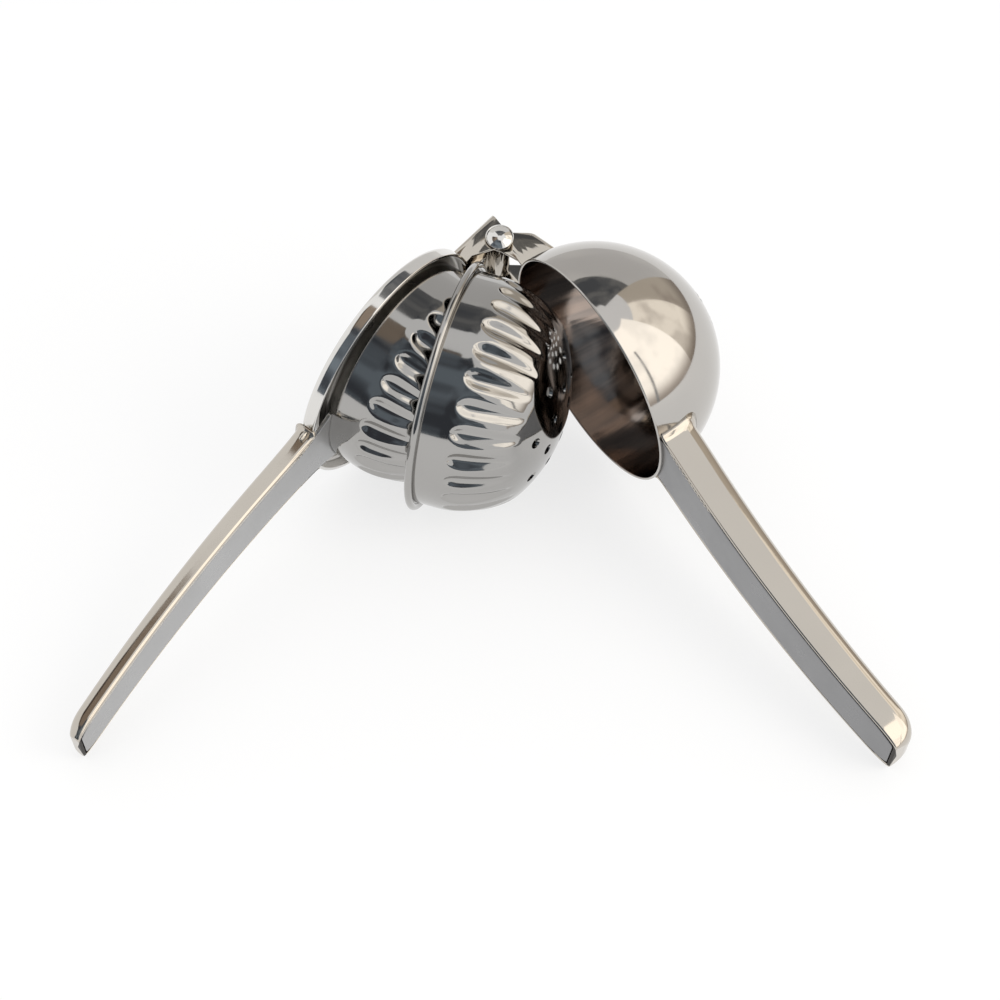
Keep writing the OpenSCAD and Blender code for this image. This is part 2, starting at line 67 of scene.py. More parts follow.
# Counts of rows and columns, and small lengths
COLUMNS = 256  # columns round the juice bowl and round the ring
NEAR_POLE = 89.2  # degrees at which the juice bowl's profile ends in a fan
RIM_ROW = 104  # row of the juice bowl's profile in the middle of its rim
RING_INSIDE = (26, 41)  # first and last row of the ring's profile that face into its channel
OUTER_STEPS = (0.38 * MM, 0.6 * MM, 1.2 * MM)  # row pitch outside on side, knuckle and crown
INNER_STEPS = (0.6 * MM, 0.9 * MM, 1.6 * MM)  # row pitch inside
DRILL_SIDES = 24
DRILL_HIGH = 45 * MM  # longer than a bowl is deep
SHARP = math.radians(35)  # edges left by a cut stay sharp above this angle
GRIP_ROWS, NOSE_ROWS = 40, 12  # rows along a handle and round its nose
ROOT_COPIES = np.array([0.06, 0.3, 0.55, 0.8])[:, None]  # sizes of the copies that close a root
REBATE_COLUMNS = 14  # columns of a channel's section that lie in the rebate
PLAY = 0.1 * MM  # play between a channel and its strip
FLARE_FROM, FLARE_FADE = -7.3 * MM, 5 * MM  # where a flare is full, and how fast it dies away
SHELL_FADE, STRIP_FADE = 9 * MM, 7 * MM  # lengths over which a root runs onto its wall
WELD_R, ROOT_WELD_R = 0.36 * MM, 0.8 * MM  # radii of the welds along a seam and at a root
SEAM_DEEP = 0.16 * MM  # depth of a seam's weld behind the handle's face


# ---- sizes and finishes ----


def length(mm, name, text):
    """A length property that is given in millimetres and kept in metres."""
    return FloatProperty(name=name, description=text, default=mm * MM, min=0, precision=4,
                         subtype="DISTANCE", unit="LENGTH")


def angle(degrees, name, text):
    """An angle property that is given in degrees and kept in radians."""
    return FloatProperty(name=name, description=text, default=math.radians(degrees),
                         subtype="ANGLE", unit="ROTATION")


def colour(rgb, name, text):
    """A colour property."""
    return FloatVectorProperty(name=name, description=text, default=rgb, size=3, min=0, max=1,
                               subtype="COLOR")


def fraction(value, name, text):
    """A property from 0 to 1."""
    return FloatProperty(name=name, description=text, default=value, min=0, max=1)


class SqueezerOpening(bpy.types.PropertyGroup):
    """How far each arm is turned about the rivet."""

    bowl: angle(34.4, "Juice bowl", "Turn of the juice bowl's arm")
    strainer: angle(-16.5, "Strainer", "Turn of the strainer")
    press: angle(-36.5, "Press", "Turn of the press arm")


class SqueezerBowls(bpy.types.PropertyGroup):
    """Sizes of the three bowls and of the ring."""

    reach: length(46, "Reach", "Distance from the rivet to the centre of the bowls")
    bowl_r: length(36.3, "Bowl radius", "Outer radius of the juice bowl")
    bowl_sheet: length(0.8, "Bowl sheet", "Sheet thickness of the juice bowl")
    bowl_straight: length(2.3, "Bowl straight", "Straight part between mouth and half sphere")
    drain_d: length(3.5, "Drain hole", "Diameter of the juice bowl's drain holes")
    drain_pitch: length(7, "Drain pitch", "Distance between the rings of drain holes")
    wall_r: length(34.5, "Strainer wall", "Outer radius of the strainer's wall")
    strainer_sheet: length(0.9, "Strainer sheet", "Sheet thickness of the strainer")
    side_r: length(30, "Side arc", "Radius of the strainer's upright side arc")
    side_y: length(4.9, "Side arc height", "Height of the side arc's centre over the mouth")
    knuckle_at: angle(40, "Knuckle", "Angle at which the side arc turns into the knuckle")
    knuckle_r: length(16, "Knuckle radius", "Radius between side and crown")
    dish_depth: length(34.3, "Dish depth", "Depth of the strainer under its mouth")
    bead_r: length(1.1, "Bead", "Radius of the rolled bead")
    bead_out: length(1.4, "Bead overhang", "Distance from the wall to the bead's centre")
    hole_d: length(3.2, "Juice hole", "Diameter of the strainer's juice holes")
    hole_outer: length(19.3, "Outer holes", "Radius of the outer ring of juice holes")
    hole_middle: length(12.6, "Middle holes", "Radius of the middle ring of juice holes")
    hole_inner: length(5.6, "Inner holes", "Radius of the inner ring of juice holes")
    hole_turn: angle(35.5, "Hole turn", "Turn of the outer and inner rings about the pole")
    flutes: IntProperty(name="Flutes", description="Flutes round each fluted bowl", default=26,
                        min=8, max=40)
    flute_depth: length(1.45, "Flute depth", "Greatest depth of a flute under the wall")
    flute_half: length(3.35, "Flute half width", "Half width of a flute where it is widest")
    flute_from: length(3, "Flutes from", "Distance along the side at which the flutes begin")
    flute_run: length(21, "Flute length", "Length of a flute along the side")
    flute_full: fraction(0.24, "Flute shoulder", "Share of its length at which a flute is widest")
    cup_in: length(2.7, "Cup inset", "Distance the cup's outside lies inside the strainer's")
    cup_sheet: length(0.9, "Cup sheet", "Sheet thickness of the press cup")
    ring_r: length(36.8, "Ring radius", "Outer radius of the press ring")
    ring_y: length(47.5, "Ring reach", "Distance from the rivet to the ring's centre")
    ring_front: length(2.7, "Ring front", "Distance of the ring's front edge behind the mouth")
    ring_back: length(7.3, "Ring back", "Distance of the ring's back behind the mouth")
    ring_sheet: length(1, "Ring sheet", "Sheet thickness of the ring")
    ring_bend: length(2, "Ring bend", "Radius of the ring's outer bend")
    notch_half: length(8.9, "Notch", "Half width of the ring's notch for the strainer's loop")
    notch_floor: length(4.25, "Notch floor", "Distance of the notch's floor behind the mouth")


class SqueezerHandles(bpy.types.PropertyGroup):
    """Sizes of the two boxed handles."""

    length: length(106.7, "Length", "Length of each handle beyond its bowl or ring")
    sheet: length(1, "Channel sheet", "Sheet thickness of the channels")
    strip: length(1.2, "Strip", "Thickness of the strips that close the channels")
    seam: length(0.38, "Seam", "Gap of the seam round the strips")
    fillet: length(1.7, "Weld fillet", "Radius of the polished weld at a handle's root")


class SqueezerHinge(bpy.types.PropertyGroup):
    """Sizes of the rivet."""

    pin_d: length(4.3, "Rivet", "Diameter of the rivet's shank")
    head_d: length(8.3, "Rivet head", "Diameter of the rivet's heads")
    head_h: length(1.5, "Head height", "Height of the rivet's domed heads")
    head_seat: length(10.8, "Head seat", "Distance from the middle to the seat of a head")


class SqueezerFinish(bpy.types.PropertyGroup):
    """Colours and polish of the steel."""

    bright: colour((0.5, 0.48, 0.455), "Bowl steel", "Colour of the polished juice bowl")
    drawn: colour((0.4, 0.392, 0.38), "Strainer steel", "Colour of the fluted bowls")
    channel: colour((0.55, 0.51, 0.455), "Handle steel", "Colour of the polished handles")
    fitting: colour((0.74, 0.725, 0.7), "Fitting steel", "Colour of the ring and the rivet")
    # Painted shade: the bowl handle's strip is darker than the press handle's same steel, for the
    # shaded table it mirrors.
    strip: colour((0.25, 0.25, 0.255), "Bowl strip steel", "Colour of the bowl handle's strip")
    press_strip: colour((0.42, 0.42, 0.42), "Press strip steel",
                        "Colour of the press handle's strip")
    polish: fraction(0.07, "Polish", "Roughness of the polished steel")
    satin: fraction(0.3, "Satin", "Roughness of the satin strips")


# ---- placing ----


def rivet_frame():
    """The squeezer's tilt and lean on the table, read from the rivet's axis."""
    axis = RIVET["axis"]
    tilt, lean = -math.asin(axis[1]), math.atan2(axis[0], axis[2])
    return np.array(Matrix.Rotation(lean, 3, "Y") @ Matrix.Rotation(tilt, 3, "X"))


def about_z(turn):
    """The matrix of a turn about Z."""
    c, s = math.cos(turn), math.sin(turn)
    return np.array([[c, -s, 0], [s, c, 0], [0, 0, 1]])


def placed(points, turn):
    """Points of an arm, turned about the rivet by its angle and laid down on the table:
    place = rivet + settle . turn . point."""
    return points @ (rivet_frame() @ about_z(turn)).T + np.array(RIVET["pos_m"])


# ---- meshes from rows of points ----


def skin_faces(rows, cols, wrap_rows):
    """Loop corners and face sizes of a grid whose columns close on themselves. With wrap_rows the
    last row joins the first; otherwise each end is a fan on a point of its own after the grid's."""
    last = rows if wrap_rows else rows - 1
    i, j = np.meshgrid(np.arange(last), np.arange(cols), indexing="ij")
    i, j = i.ravel(), j.ravel()
    i2, j2 = (i + 1) % rows, (j + 1) % cols
    quads = np.stack([i * cols + j, i * cols + j2, i2 * cols + j2, i2 * cols + j], 1)
    corners, sizes = [quads.ravel()], [np.full(len(quads), 4)]
    if not wrap_rows:
        k = np.arange(cols)
        k2 = (k + 1) % cols
        first = np.stack([np.full(cols, rows * cols), k2, k], 1)
        base = (rows - 1) * cols
        final = np.stack([np.full(cols, rows * cols + 1), base + k, base + k2], 1)
        corners += [first.ravel(), final.ravel()]
        sizes += [np.full(cols, 3), np.full(cols, 3)]
    return np.concatenate(corners), np.concatenate(sizes)


def enclosed(points, corners, sizes):
    """Volume inside a closed skin, as the sum of the tetrahedra from the origin to each face."""
    starts = np.concatenate([[0], np.cumsum(sizes)[:-1]])
    a, b, c = points[corners[starts]], points[corners[starts + 1]], points[corners[starts + 2]]
    total = np.einsum("ij,ij->i", a, np.cross(b, c)).sum()
    quad = sizes == 4
    a, c, d = a[quad], c[quad], points[corners[starts[quad] + 3]]
    return total + np.einsum("ij,ij->i", a, np.cross(c, d)).sum()


def added(name, data):
    """A new object in the scene."""
    piece = bpy.data.objects.new(name, data)
    bpy.context.scene.collection.objects.link(piece)
    return piece


def solid(name, grid, turn, material, wrap_rows=False):
    """A closed mesh from rows x columns of points of an arm, placed unless its turn is None, with
    its faces outwards. The ends of a skin that doesn't wrap close on the middle of its first and
    of its last row."""
    if turn is not None:
        grid = placed(grid, turn)
    rows, cols = grid.shape[:2]
    points = grid.reshape(-1, 3)
    if not wrap_rows:
        points = np.concatenate([points, [grid[0].mean(0), grid[-1].mean(0)]])
    corners, sizes = skin_faces(rows, cols, wrap_rows)
    middle = points.mean(0)
    if enclosed(points - middle, corners, sizes) < 0:
        starts = np.repeat(np.cumsum(sizes) - sizes, sizes)
        place = np.arange(len(corners)) - starts
        corners = corners[starts + np.repeat(sizes, sizes) - 1 - place]
    mesh = bpy.data.meshes.new(name)
    mesh.vertices.add(len(points))
    mesh.vertices.foreach_set("co", points.astype(np.float32).ravel())
    mesh.loops.add(len(corners))
    mesh.loops.foreach_set("vertex_index", corners.astype(np.int32))
    mesh.polygons.add(len(sizes))
    mesh.polygons.foreach_set("loop_start", (np.cumsum(sizes) - sizes).astype(np.int32))
    mesh.polygons.foreach_set("use_smooth", np.ones(len(sizes), bool))
    mesh.update(calc_edges=True)
    mesh.validate()
    if material:
        mesh.materials.append(material)
    return added(name, mesh)


def arc(centre, r, start, end, count):
    """Points on a circle: centre + r (cos a, sin a), with a running evenly in degrees."""
    a = np.radians(np.linspace(start, end, count))
    return np.stack([centre[0] + r * np.cos(a), centre[1] + r * np.sin(a)], 1)


def eased(count):
    """Shares of a way, without its ends and closer together near them."""
    return (1 - np.cos(np.linspace(0, np.pi, count + 2)[1:-1])) / 2


def line(a, b, count):
    """Points on a straight line from a to b, without its ends."""
    return np.array(a) + eased(count)[:, None] * (np.array(b) - np.array(a))


def turned(profile, out, count):
    """A profile of radius and height turned about a bowl's pole:
    point = (height, -out - radius cos a, radius sin a), one column for each angle a."""
    a = np.linspace(0, 2 * np.pi, count, endpoint=False)
    r, h = profile[:, :1], profile[:, 1:]
    return np.stack([h + 0 * a, -out - r * np.cos(a), r * np.sin(a)], 2)


# ---- fluted bowls ----


def dish_profile(s, inset, steps):
    """Profile of a fluted bowl from its mouth to its pole, inset under the strainer's outside:
    a straight wall, the side arc, the knuckle and the crown, each tangent to the next.
    Gives radius and height, the outward normal, and the distance along the strainer's side."""
    side_x = s.wall_r - s.side_r
    knuckle_at, k = math.degrees(s.knuckle_at), s.side_r - s.knuckle_r
    knuckle = (side_x + k * math.cos(s.knuckle_at), s.side_y + k * math.sin(s.knuckle_at))
    rise = s.dish_depth - knuckle[1]
    crown_r = (knuckle[0] ** 2 + rise ** 2 - s.knuckle_r ** 2) / (2 * (rise - s.knuckle_r))
    crown_y = s.dish_depth - crown_r
    crown_at = math.degrees(math.atan2(knuckle[1] - crown_y, knuckle[0]))
    parts = [((side_x, s.side_y), s.side_r, 0, knuckle_at),
             (knuckle, s.knuckle_r, knuckle_at, crown_at),
             ((0, crown_y), crown_r, crown_at, 90)]
    points, normals, along, passed = [], [], [], 0
    for i, (centre, r, start, end) in enumerate(parts):
        count = max(6, int(math.radians(end - start) * r / steps[i]))
        a = np.linspace(start, end, count + 1)[1 if i else 0:]
        if i == 2:
            a = a[:-1]
        points.append(arc(centre, r - inset, a[0], a[-1], len(a)))
        normals.append(arc((0, 0), 1, a[0], a[-1], len(a)))
        along.append(passed + np.radians(a - start) * r)
        passed += math.radians(end - start) * r
    return np.concatenate(points), np.concatenate(normals), np.concatenate(along)


def flute_depth_at(s, along, across):
    """Depth of the flutes at a distance along the side and across from a flute's middle. With t
    the share of its length, u = t / shoulder before it and v the share of the rest after it:
    half width w = half sqrt(1 - (1 - u)^2), then half (1 - 0.62 v^1.5), and
    depth = depth (1 - (1 - u)^4), then depth (1 - v^1.7), times (cos(pi across / 2 w))^1.5."""
    t = np.clip((along - s.flute_from) / s.flute_run, 0, 1)[:, None]
    u = np.minimum(t / s.flute_full, 1)
    v = np.maximum(t - s.flute_full, 0) / (1 - s.flute_full)
    w = s.flute_half * np.sqrt(1 - (1 - u) ** 2) * (1 - 0.62 * v ** 1.5)
    deep = s.flute_depth * (1 - (1 - u) ** 4) * (1 - v ** 1.7)
    share = np.minimum(np.abs(across) / np.maximum(w, 0.01 * MM), 1)
    return deep * np.cos(np.pi / 2 * share) ** 1.5


def fluted_skin(s, inset, sheet, steps, columns):
    """Rows of a fluted skin from mouth to pole: the outside, or with a sheet the inside under
    it. Each point lies on the turned profile, moved in by the flutes' depth there."""
    profile, normal, along = dish_profile(s, inset + sheet, steps)
    a = np.linspace(0, 2 * np.pi, columns, endpoint=False)
    pitch = 2 * np.pi / s.flutes
    off = (a + pitch / 2) % pitch - pitch / 2
    depth = flute_depth_at(s, along, profile[:, :1] * off)
    r = profile[:, :1] - depth * normal[:, :1]
    h = profile[:, 1:] - depth * normal[:, 1:]
    return np.stack([h, -s.reach - r * np.cos(a), r * np.sin(a)], 2)


def fluted_bowl(name, s, inset, sheet, rim, turn, material):
    """A fluted bowl: its outside from pole to mouth, the rim's profile, and its inside."""
    columns = 16 * s.flutes
    outside = fluted_skin(s, inset, 0, OUTER_STEPS, columns)[::-1]
    inside = fluted_skin(s, inset, sheet, INNER_STEPS, columns)
    grid = np.concatenate([outside, turned(rim, s.reach, columns), inside])
    return solid(name, grid, turn, material)


def cut_away(piece, tools):
    """Cuts tools out of a piece for good, and keeps the cuts' edges sharp."""
    before = len(piece.data.vertices)
    group = bpy.data.collections.new("tools")
    bpy.context.scene.collection.children.link(group)
    for tool in tools:
        bpy.context.scene.collection.objects.unlink(tool)
        group.objects.link(tool)
    cut = piece.modifiers.new("cut", "BOOLEAN")
    cut.operation, cut.solver = "DIFFERENCE", "MANIFOLD"
    cut.operand_type, cut.collection = "COLLECTION", group
    bpy.context.view_layer.update()
    seen = piece.evaluated_get(bpy.context.evaluated_depsgraph_get())
    baked = bpy.data.meshes.new_from_object(seen)
    baked.set_sharp_from_angle(angle=SHARP)
    piece.modifiers.clear()
    piece.data = baked
    for tool in tools:
        bpy.data.objects.remove(tool)
    bpy.data.collections.remove(group)
    if len(baked.vertices) == before:
        raise RuntimeError("nothing was cut from " + piece.name)
    return piece


def drilled(piece, s, turn, rings, d):
    """Drills round holes along a bowl's pole. Each ring is (count, radius, first angle)."""
    ring, tools = arc((0, 0), d / 2, 0, 360 - 360 / DRILL_SIDES, DRILL_SIDES), []
    for count, r, first in rings:
        for i in range(count):
            a = first + i * 2 * math.pi / count
            y, z = -s.reach - r * math.cos(a) + ring[:, 0], r * math.sin(a) + ring[:, 1]
            grid = np.stack([np.stack([0 * y + h, y, z], 1) for h in (0, DRILL_HIGH)])
            tools.append(solid("drill", grid, turn, None))
    cut_away(piece, tools)


def second_finish(piece, material, chosen):
    """Gives a second material to the faces whose numbers pass the test."""
    piece.data.materials.append(material)
    faces = np.arange(len(piece.data.polygons))
    piece.data.polygons.foreach_set("material_index", chosen(faces).astype(np.int32))


def finished(piece, body, slot, *nodes):
    """Rides on its body and stands for its nodes, which are hidden. The slot is not used."""
    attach(piece, body)
    if nodes:
        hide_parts(*nodes)


class SQUEEZER_OT_juice_bowl(bpy.types.Operator):
    """Plain deep-drawn juice bowl with its drain holes"""

    bl_idname = "squeezer.juice_bowl"
    bl_label = "Juice bowl"

    def execute(self, context):
        s, turn = context.scene.squeezer_bowls, context.scene.squeezer_opening.bowl
        r, straight, t, foot = s.bowl_r, s.bowl_straight, s.bowl_sheet, s.bowl_sheet / 2
        profile = np.concatenate([
            arc((0, straight), r, NEAR_POLE, 0, 96),
            line((r, straight), (r, foot), 3),
            arc((r - foot, foot), foot, 0, -180, 9),
            line((r - t, foot), (r - t, straight), 3),
            arc((0, straight), r - t, 0, NEAR_POLE, 80)])
        bowl = solid("juice_bowl_skin", turned(profile, s.reach, COLUMNS), turn,
                     polished_steel("bowl_steel", "bright"))
        # The inside rows take painted shade and painted reflection.
        second_finish(bowl, shade_and_reflection_steel("bowl_inside", turn, s.reach),
                      lambda face: face // COLUMNS > RIM_ROW)
        drilled(bowl, s, turn, ((1, 0, 0), (6, s.drain_pitch, 0),
                                (12, 2 * s.drain_pitch, math.pi / 12)), s.drain_d)
        finished(bowl, "bowl_arm", "bowl_steel", "juice_bowl")
        return {"FINISHED"}


class SQUEEZER_OT_strainer(bpy.types.Operator):
    """Fluted strainer bowl with its rolled bead and juice holes"""

    bl_idname = "squeezer.strainer"
    bl_label = "Strainer"

    def execute(self, context):
        s, turn = context.scene.squeezer_bowls, context.scene.squeezer_opening.strainer
        drop, neck, neck_up, wall_end = 0.3 * MM, 0.25 * MM, 0.35 * MM, 1.3 * MM
        bead = (s.wall_r + s.bead_out, -drop - s.bead_r)
        lip = bead[1] - s.bead_r
        bend = s.strainer_sheet + 0.4 * MM
        inner = s.wall_r - s.strainer_sheet
        rim = np.concatenate([
            line((s.wall_r, s.side_y), (s.wall_r, lip + wall_end), 3),
            arc((s.wall_r + neck, bead[1] + neck_up), neck, 180, 240, 4),
            arc(bead, s.bead_r, 168, -90, 18),
            line((bead[0], lip), (inner + bend, lip), 2),
            arc((inner + bend, lip + bend), bend, -90, -180, 7),
            line((inner, lip + bend), (inner, s.side_y), 3)])
        bowl = fluted_bowl("strainer_skin", s, 0, s.strainer_sheet, rim, turn,
                           polished_steel("strainer_steel", "drawn"))
        other = s.hole_turn - math.pi / 8
        drilled(bowl, s, turn, ((8, s.hole_outer, s.hole_turn), (8, s.hole_middle, other),
                                (4, s.hole_inner, s.hole_turn)), s.hole_d)
        finished(bowl, "strainer", "strainer_steel", "strainer_bowl")
        return {"FINISHED"}


class SQUEEZER_OT_press_cup(bpy.types.Operator):
    """Fluted press cup"""

    bl_idname = "squeezer.press_cup"
    bl_label = "Press cup"

    def execute(self, context):
        s, turn = context.scene.squeezer_bowls, context.scene.squeezer_opening.press
        r, inner, e = s.wall_r - s.cup_in, s.wall_r - s.cup_in - s.cup_sheet, 0.2 * MM
        rim = np.concatenate([
            line((r, s.side_y), (r, e - s.ring_back), 4),
            arc((r - e, e - s.ring_back), e, 0, -90, 4),
            arc((inner + e, e - s.ring_back), e, -90, -180, 4),
            line((inner, e - s.ring_back), (inner, s.side_y), 4)])
        cup = fluted_bowl("press_cup_skin", s, s.cup_in, s.cup_sheet, rim, turn,
                          polished_steel("cup_steel", "drawn"))
        finished(cup, "press_arm", "cup_steel", "press_cup")
        return {"FINISHED"}


# ---- handles ----


def grip_of(kind, h):
    """Sizes of one handle. side: which way its depth runs; root: distance from the rivet; deep
    and high: depth and height at root and tip; flare: height added at the root; nose: length of
    the round tip, and the depth and half height it takes off; edge and bend: radii of the lips
    and of the back; low, low_at, bow and level_to: see face_rise; fillet: radius at the root;
    weld: how far the seam's weld runs in millimetres, and its drops."""
    if kind == "bowl":
        return dict(side=1, root=82.3 * MM, deep=(11.5 * MM, 9.6 * MM), high=(23.6 * MM, 17.6 * MM),
                    flare=0, nose=(9 * MM, 6 * MM, 2.4 * MM), edge=0.5 * MM, bend=4.2 * MM,
                    low=-1.3 * MM, low_at=52.7 * MM, bow=620 * MM, level_to=0, fillet=h.fillet,
                    weld=(24, 38))
    return dict(side=-1, root=84.3 * MM, deep=(6.3 * MM, 5.3 * MM), high=(18.6 * MM, 14.9 * MM),
                flare=9.3 * MM, nose=(7 * MM, 2.4 * MM, 1.8 * MM), edge=1.2 * MM, bend=2.9 * MM,
                low=-1.5 * MM, low_at=15.7 * MM, bow=650 * MM, level_to=15.7 * MM,
                fillet=0.8 * MM, weld=(8, 14))


def face_rise(g, x):
    """Height of a handle's bowed face, low + (x - low_at)^2 / (2 bow), and even up to level_to."""
    return g["low"] + (np.maximum(x, g["level_to"]) - g["low_at"]) ** 2 / (2 * g["bow"])


def grip_half(g, h, x):
    """Half height of a handle at x from its root: even taper, and the flare that dies away."""
    flare = np.minimum(g["flare"], g["flare"] * np.exp(-(x - FLARE_FROM) / FLARE_FADE))
    return (g["high"][0] + (g["high"][1] - g["high"][0]) * x / h.length + flare) / 2


def grip_stations(g, start, end):
    """Distances from the root and the share of the nose that is passed, as 1 - cos a while the
    distance runs as sin a, closer together at the root."""
    nose = g["nose"][0]
    t = np.linspace(0, 1, GRIP_ROWS) ** 1.5
    a = np.linspace(0, np.pi / 2, NOSE_ROWS + 1)[1:]
    x = np.concatenate([start + (end - nose - start) * t, end - nose + nose * np.sin(a)])
    return x, np.concatenate([np.zeros(GRIP_ROWS), 1 - np.cos(a)])


def side_arc(c0, c1, r, start, end, count):
    """An arc whose centre and radius differ from row to row: rows x count points."""
    a = np.radians(np.linspace(start, end, count))
    return np.stack([c0[:, None] + r * np.cos(a), c1[:, None] + r * np.sin(a)], 2)


def side_line(a, b, count):
    """A straight line between two points that differ from row to row, without its ends."""
    return a[:, None] + eased(count)[None, :, None] * (b - a)[:, None]


def pair(u, v):
    """Depth and height side by side."""
    return np.stack([u, v], 1)


def mirrored(points):
    """The same points at the other side of the section, in the other order."""
    return (points * np.array([1, -1]))[:, ::-1]


def channel_rows(g, h):
    """Rows of a handle's channel. Each row runs round its section, as depth behind the face and
    height: the lip, its edge, the side, the bend, the back, and the same again mirrored; then
    down into the rebate in which the strip lies. Past the strip's end the rebate is filled."""
    x, nose = grip_stations(g, 0, h.length)
    cut, step, filled = h.length - h.sheet, 0.03 * MM, 0.01 * MM
    extra = np.array([cut - step, cut + step])
    share = 1 - np.sqrt(np.maximum(0, 1 - ((extra - h.length + g["nose"][0]) / g["nose"][0]) ** 2))
    order = np.argsort(np.concatenate([x, extra]))
    x, nose = np.concatenate([x, extra])[order], np.concatenate([nose, share])[order]
    f = g["fillet"]
    near = np.clip(f - x, 0, f)
    swell = f - np.sqrt(f * f - near * near)
    half = grip_half(g, h, x) - g["nose"][2] * nose + swell
    deep = g["deep"][0] + (g["deep"][1] - g["deep"][0]) * x / h.length - g["nose"][1] * nose + swell
    e = g["edge"]
    b = np.minimum(g["bend"], deep - e - PLAY)
    inner = half - h.sheet - swell
    rebate = np.where(x < cut, h.strip + PLAY, filled)
    top = math.degrees(math.asin(1 - h.sheet / e)) if e > h.sheet else 0
    zero = 0 * x
    a = np.radians(np.linspace(90, 0, 10))
    bend = np.stack([(deep - b)[:, None] + b[:, None] * np.cos(a),
                     (half - b)[:, None] + b[:, None] * np.sin(a)], 2)
    edge = side_arc(zero + e, half - e, e, 180 - top, 90, 7)
    side = side_line(pair(zero + e, half), pair(deep - b, half), 4)
    back = side_line(pair(deep, half - b), pair(deep, b - half), 7)
    rise = side_line(pair(zero, -inner), pair(rebate, -inner), 3)
    floor = side_line(pair(rebate, -inner), pair(rebate, inner), 7)
    fall = side_line(pair(rebate, inner), pair(zero, inner), 3)
    return x, np.concatenate([edge, side, bend, back, mirrored(bend), mirrored(side),
                              mirrored(edge), rise, floor, fall], 1)


def strip_rows(g, h, start):
    """Rows of a strip: a flat bar with soft edges that follows the handle's face."""
    inset = h.sheet + h.seam
    x, nose = grip_stations(g, start, h.length - inset)
    half = grip_half(g, h, x) - g["nose"][2] * nose - inset
    e, zero = 0.22 * MM, 0 * x
    high, under = half - e, zero + h.strip
    one = side_arc(zero + e, high, e, 180, 90, 4)
    two = side_arc(under - e, high, e, 90, 0, 4)
    back = side_line(pair(under, high), pair(under, -high), 6)
    front = side_line(pair(zero, -high), pair(zero, high), 6)
    return x, np.concatenate([one, two, back, mirrored(two), mirrored(one), front], 1)


def drawn_in(values):
    """Copies of a row of values, drawn in towards their mean."""
    return values.mean() + (values - values.mean()) * ROOT_COPIES


def run_along(g, x, section, start_at, fade):
    """Carries a handle's sections out along the arm: point = (face + side depth, -out, height),
    where out is root + x, and near the root it runs on to the surface it is welded to. The root's
    end lies along that surface: smaller and smaller copies of the first section, laid on it."""
    depth = face_rise(g, x)[:, None] + g["side"] * section[:, :, 0]
    begin = start_at(depth, section[:, :, 1])
    weight = np.clip(1 - (x - x[0]) / fade, 0, 1)[:, None] ** 2
    out = g["root"] + x[:, None] + (begin - g["root"] - x[0]) * weight
    rows = np.stack([depth, -out, section[:, :, 1]], 2)
    deep, high = drawn_in(depth[0]), drawn_in(section[0, :, 1])
    return np.concatenate([np.stack([deep, -start_at(deep, high), high], 2), rows])


def capped(grid):
    """Adds a flat end to a run of sections: the last row again, drawn in to its own middle."""
    middle = grid[-1].mean(0)
    ends = [middle + (grid[-1] - middle) * k for k in (0.94, 0.8, 0.4)]
    return np.concatenate([grid, ends])


def weld_bead(name, path, turn, r, material, drops):
    """A run of weld along a path of an arm, drawn in at its ends: a round bar whose radius swells
    and shrinks, radius = r (0.62 + 0.38 |sin(drops t)|) (1 + 0.25 sin(2.3 drops t + 1))."""
    path, t = placed(path, turn), np.linspace(0, 1, len(path))
    size = r * (0.62 + 0.38 * np.abs(np.sin(drops * t))) * (1 + 0.25 * np.sin(2.3 * drops * t + 1))
    size *= np.sqrt(np.clip(np.minimum(t, 1 - t) * 14, 0.03, 1))
    run = np.gradient(path, axis=0)
    run /= np.linalg.norm(run, axis=1)[:, None]
    side = np.cross(run, [0, 0, 1])
    side /= np.linalg.norm(side, axis=1)[:, None]
    up = np.cross(side, run)
    a = np.linspace(0, 2 * np.pi, 12, endpoint=False)[None, :, None]
    round_bar = np.cos(a) * side[:, None] + np.sin(a) * up[:, None]
    return solid(name, path[:, None] + size[:, None, None] * round_bar, None, material)


